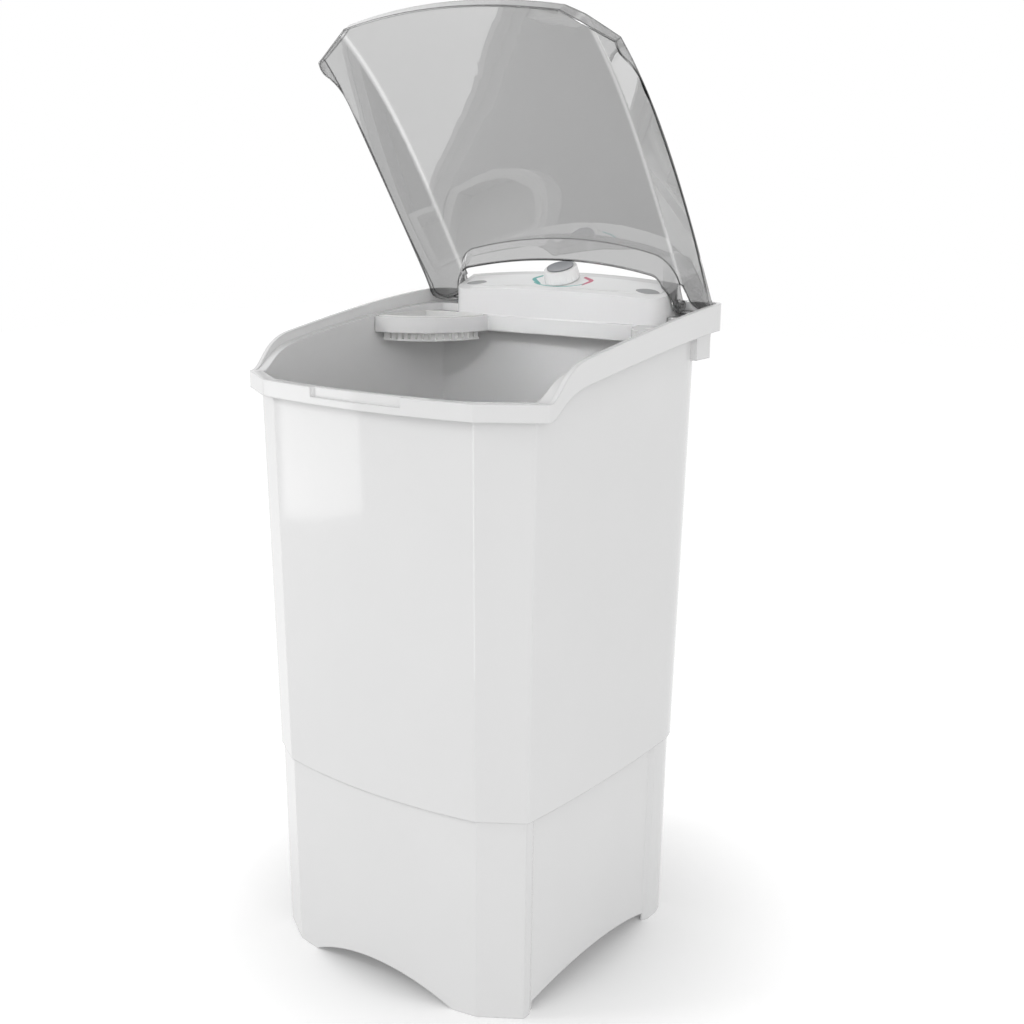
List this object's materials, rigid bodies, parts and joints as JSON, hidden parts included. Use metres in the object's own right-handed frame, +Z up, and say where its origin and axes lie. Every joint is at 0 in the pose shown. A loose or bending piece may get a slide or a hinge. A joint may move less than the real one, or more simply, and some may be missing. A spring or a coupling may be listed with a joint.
{
  "type": "semi-automatic washing machine",
  "caption": "Upright semi-automatic washing machine: drafted white tub on an arched base skirt, hinged smoked lid shown open, rear console with a timer knob, belt-driven impeller.",
  "frame": {"origin": "on the floor, under the middle of the whole machine with its lid open", "axes": "+Z up, front of the machine towards -Y, +X to the right as seen from the front"},
  "size_m": [0.5308, 0.5174, 1.3391],
  "materials": {
    "white_shell": "gloss",
    "white_knob": "gloss",
    "film": "satin",
    "smoked_clear": "gloss",
    "natural_plastic": "satin",
    "grey_plastic": "matte",
    "dark_plastic": "matte",
    "steel": "bright",
    "bronze": "satin",
    "cast_alloy": "as cast",
    "black_rubber": "matte",
    "motor_paint": "satin"
  },
  "bodies": {
    "machine": {"tub": "white_shell", "base_skirt": "white_shell", "console_bridge": "white_shell", "rear_duct": "white_shell", "control_overlay": "film", "timer_body": "dark_plastic", "timer_screws": "steel", "console_screws": "steel", "hinge_pins": "steel", "lint_basket": "natural_plastic", "shaft_seal": "black_rubber", "upper_bush": "bronze", "lower_bush": "bronze", "bearing_housing": "cast_alloy", "bearing_screws": "steel", "thrust_washer": "steel", "drive_belt": "black_rubber", "motor_body": "motor_paint", "motor_plate": "steel", "motor_screws": "steel", "plate_screws": "steel", "capacitor": "natural_plastic", "capacitor_clip": "steel", "terminal_block": "natural_plastic", "wiring_harness": "black_rubber", "drain_grate": "grey_plastic", "drain_elbow": "grey_plastic", "outlet_spigot": "grey_plastic", "cord_gland": "black_rubber", "base_screws": "steel"},
    "lid": {"lid": "smoked_clear"},
    "timer_dial": {"timer_knob": "white_knob", "timer_spindle": "steel"},
    "wash_rotor": {"impeller": "natural_plastic", "impeller_screw": "steel", "drive_shaft": "steel", "driven_pulley": "dark_plastic", "pulley_nut": "steel"},
    "motor_rotor": {"motor_shaft": "steel", "motor_pulley": "cast_alloy"}
  },
  "joints": [
    {"name": "lid_hinge", "type": "hinge", "parent": "machine", "child": "lid", "pos_m": [0, 0.23575, 0.938], "axis": [-1, 0, 0], "range_deg": [-61.5, 28.5]},
    {"name": "timer_turn", "type": "hinge", "parent": "machine", "child": "timer_dial", "pos_m": [0, 0.22375, 0.96792], "axis": [0, -0.342, 0.9397], "range_deg": [-150, 150]},
    {"name": "impeller_spin", "type": "hinge", "parent": "machine", "child": "wash_rotor", "pos_m": [0, -0.01025, 0.3], "axis": [0, 0, 1], "continuous": true},
    {"name": "motor_spin", "type": "hinge", "parent": "machine", "child": "motor_rotor", "pos_m": [-0.10607, 0.09582, 0.12], "axis": [0, 0, 1], "continuous": true}
  ],
  "couplings": [
    {"joint": "motor_spin", "follows": "impeller_spin", "ratio": 4.5111}
  ]
}
